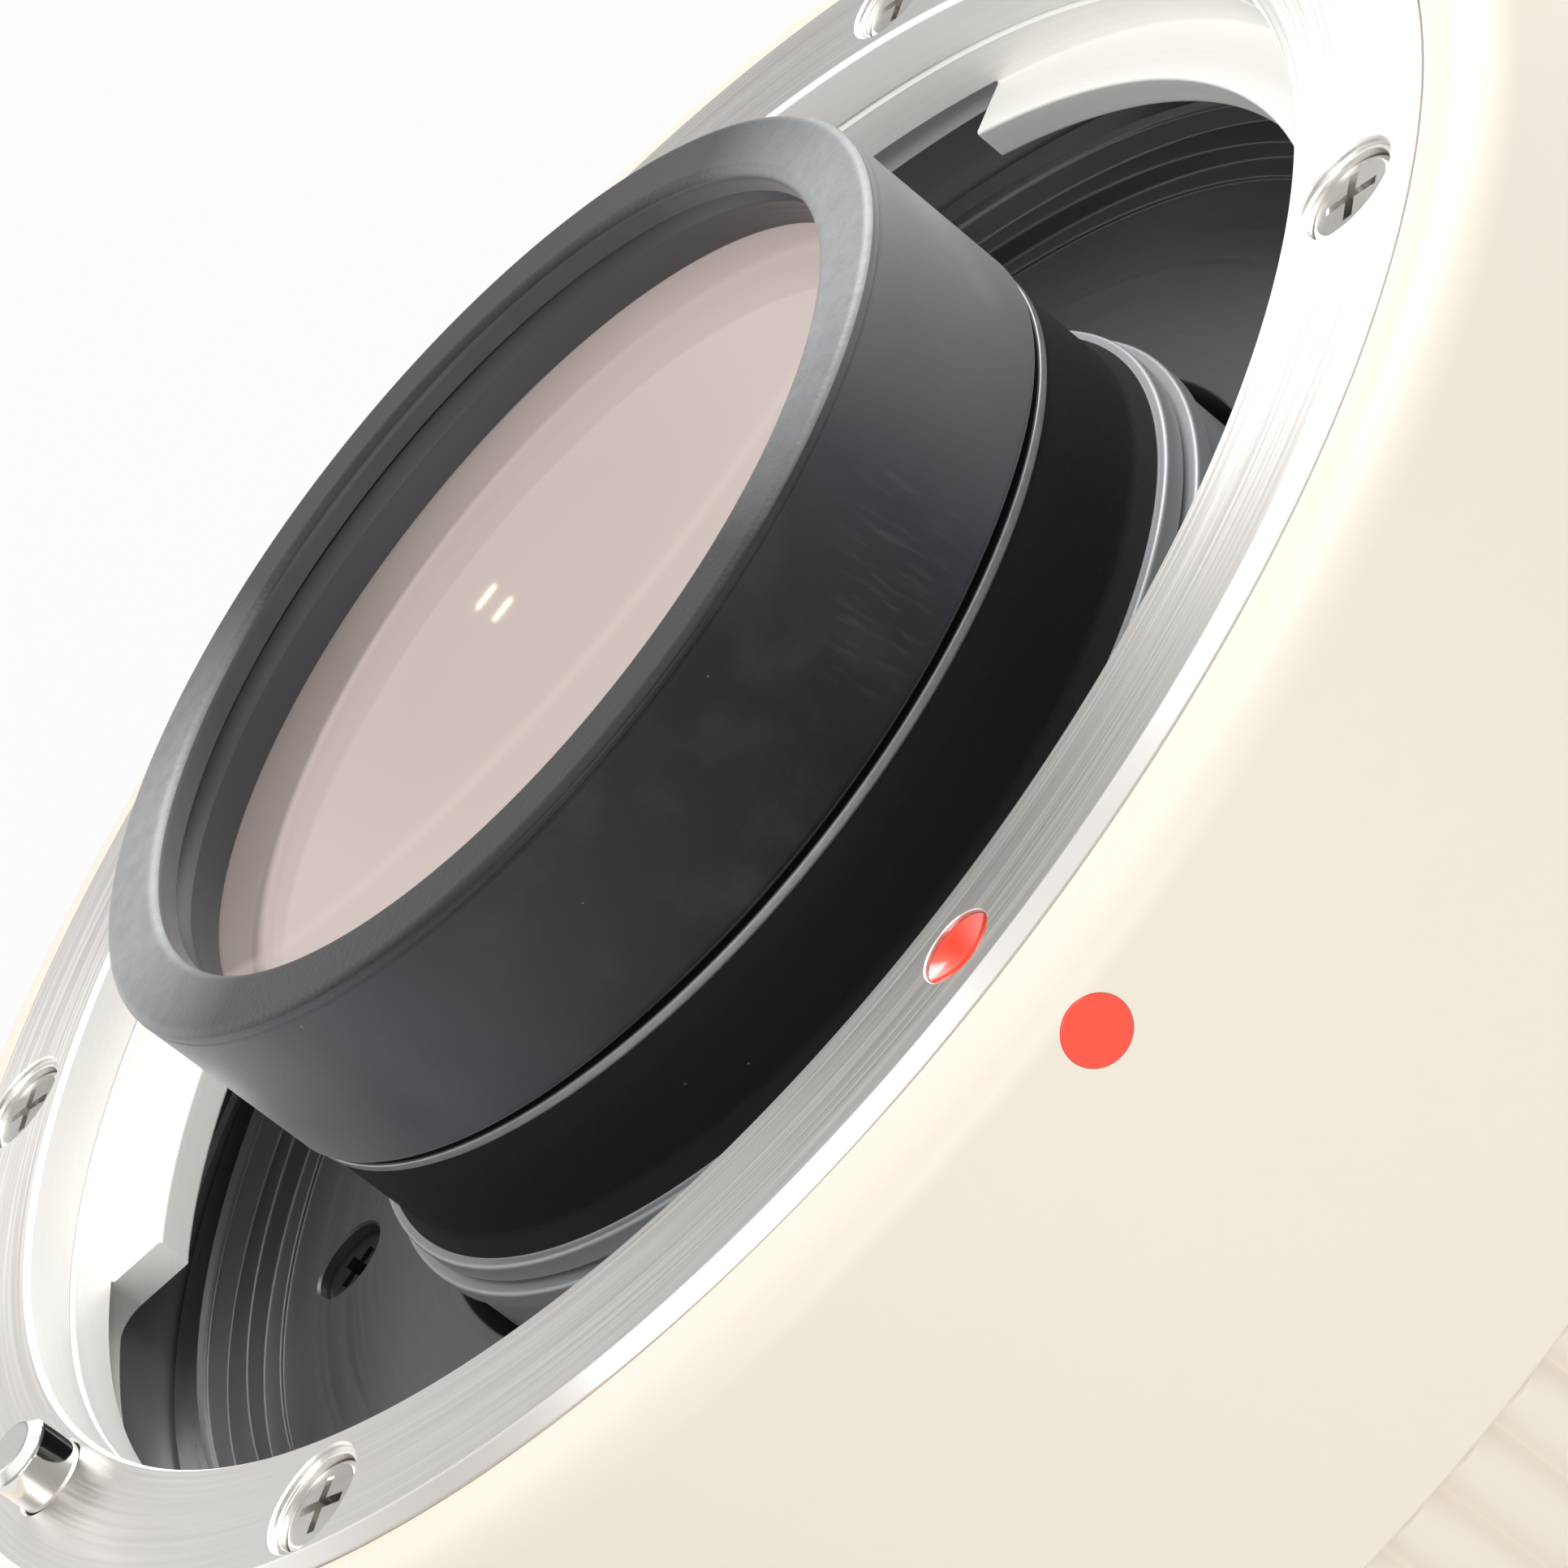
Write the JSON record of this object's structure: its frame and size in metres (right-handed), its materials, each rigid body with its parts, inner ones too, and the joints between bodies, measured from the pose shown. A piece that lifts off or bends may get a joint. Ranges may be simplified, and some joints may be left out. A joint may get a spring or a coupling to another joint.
{
  "type": "camera teleconverter",
  "caption": "Short camera lens extender: front bayonet round a raised rubber-sleeved lens barrel, rear bayonet, cream body with a ribbed band, lock pin, release slider, sprung contacts.",
  "frame": {"origin": "centre of the rear seating face, on the optical axis", "axes": "+Z along the optical axis to the front, -Y through the red mark of the front mount"},
  "size_m": [0.0696, 0.0678, 0.0394],
  "materials": {
    "black_anodised": "matt black anodised",
    "cream_paint": "cream paint, fine orange peel",
    "cream_grip": "cream paint on ribs",
    "mount_steel": "satin, turned",
    "screw_steel": "bright",
    "spring_steel": "plain",
    "red_lacquer": "gloss",
    "black_plastic": "matt",
    "flex_film": "satin film",
    "gold": "gold plated",
    "black_barrel": "black, polished base rings",
    "rubber": "soft matt",
    "coated_glass": "coated, polished",
    "glass": "polished",
    "black_screw": "blackened"
  },
  "bodies": {
    "converter": {"main_barrel": "black_anodised", "outer_shell": "cream_paint", "grip_ring": "cream_grip", "front_mount_ring": "mount_steel", "front_mount_screws": "screw_steel", "mount_spring": "spring_steel", "ring_index_mark": "red_lacquer", "body_index_dot": "red_lacquer", "lock_spring": "spring_steel", "front_contact_block": "black_plastic", "front_contact_screws": "screw_steel", "contact_spring_1": "spring_steel", "contact_spring_2": "spring_steel", "contact_spring_3": "spring_steel", "contact_spring_4": "spring_steel", "contact_spring_5": "spring_steel", "contact_spring_6": "spring_steel", "contact_spring_7": "spring_steel", "contact_spring_8": "spring_steel", "contact_spring_9": "spring_steel", "contact_spring_10": "spring_steel", "flex_circuit": "flex_film", "rear_contact_block": "black_plastic", "rear_contact_pads": "gold", "rear_contact_screws": "screw_steel", "lens_barrel": "black_barrel", "rubber_sleeve": "rubber", "front_retaining_ring": "black_anodised", "lens_1": "coated_glass", "lens_spacer": "black_anodised", "lens_2": "glass", "lens_3": "glass", "lens_4": "glass", "lens_5": "glass", "rear_cell": "black_anodised", "rear_retaining_ring": "black_anodised", "barrel_screws": "black_screw", "rear_mount_ring": "mount_steel", "rear_mount_screws": "screw_steel", "rear_baffle": "black_plastic", "rear_baffle_screws": "black_screw", "rear_index_bead": "red_lacquer"},
    "release": {"lock_pin": "screw_steel", "lock_carrier": "spring_steel", "release_slider": "black_plastic"},
    "contact_1": {"contact_pin_1": "gold"},
    "contact_2": {"contact_pin_2": "gold"},
    "contact_3": {"contact_pin_3": "gold"},
    "contact_4": {"contact_pin_4": "gold"},
    "contact_5": {"contact_pin_5": "gold"},
    "contact_6": {"contact_pin_6": "gold"},
    "contact_7": {"contact_pin_7": "gold"},
    "contact_8": {"contact_pin_8": "gold"},
    "contact_9": {"contact_pin_9": "gold"},
    "contact_10": {"contact_pin_10": "gold"}
  },
  "joints": [
    {"name": "release_slide", "type": "slide", "parent": "converter", "child": "release", "axis": [0, 0, -1], "range_m": [0, 0.0024], "stiffness_N_per_m": 600, "springref_m": -0.002, "deforming": ["lock_spring"]},
    {"name": "contact_1_press", "type": "slide", "parent": "converter", "child": "contact_1", "axis": [0, 0, -1], "range_m": [0, 0.0008], "stiffness_N_per_m": 400, "springref_m": -0.0005, "deforming": ["contact_spring_1"]},
    {"name": "contact_2_press", "type": "slide", "parent": "converter", "child": "contact_2", "axis": [0, 0, -1], "range_m": [0, 0.0008], "stiffness_N_per_m": 400, "springref_m": -0.0005, "deforming": ["contact_spring_2"]},
    {"name": "contact_3_press", "type": "slide", "parent": "converter", "child": "contact_3", "axis": [0, 0, -1], "range_m": [0, 0.0008], "stiffness_N_per_m": 400, "springref_m": -0.0005, "deforming": ["contact_spring_3"]},
    {"name": "contact_4_press", "type": "slide", "parent": "converter", "child": "contact_4", "axis": [0, 0, -1], "range_m": [0, 0.0008], "stiffness_N_per_m": 400, "springref_m": -0.0005, "deforming": ["contact_spring_4"]},
    {"name": "contact_5_press", "type": "slide", "parent": "converter", "child": "contact_5", "axis": [0, 0, -1], "range_m": [0, 0.0008], "stiffness_N_per_m": 400, "springref_m": -0.0005, "deforming": ["contact_spring_5"]},
    {"name": "contact_6_press", "type": "slide", "parent": "converter", "child": "contact_6", "axis": [0, 0, -1], "range_m": [0, 0.0008], "stiffness_N_per_m": 400, "springref_m": -0.0005, "deforming": ["contact_spring_6"]},
    {"name": "contact_7_press", "type": "slide", "parent": "converter", "child": "contact_7", "axis": [0, 0, -1], "range_m": [0, 0.0008], "stiffness_N_per_m": 400, "springref_m": -0.0005, "deforming": ["contact_spring_7"]},
    {"name": "contact_8_press", "type": "slide", "parent": "converter", "child": "contact_8", "axis": [0, 0, -1], "range_m": [0, 0.0008], "stiffness_N_per_m": 400, "springref_m": -0.0005, "deforming": ["contact_spring_8"]},
    {"name": "contact_9_press", "type": "slide", "parent": "converter", "child": "contact_9", "axis": [0, 0, -1], "range_m": [0, 0.0008], "stiffness_N_per_m": 400, "springref_m": -0.0005, "deforming": ["contact_spring_9"]},
    {"name": "contact_10_press", "type": "slide", "parent": "converter", "child": "contact_10", "axis": [0, 0, -1], "range_m": [0, 0.0008], "stiffness_N_per_m": 400, "springref_m": -0.0005, "deforming": ["contact_spring_10"]}
  ]
}
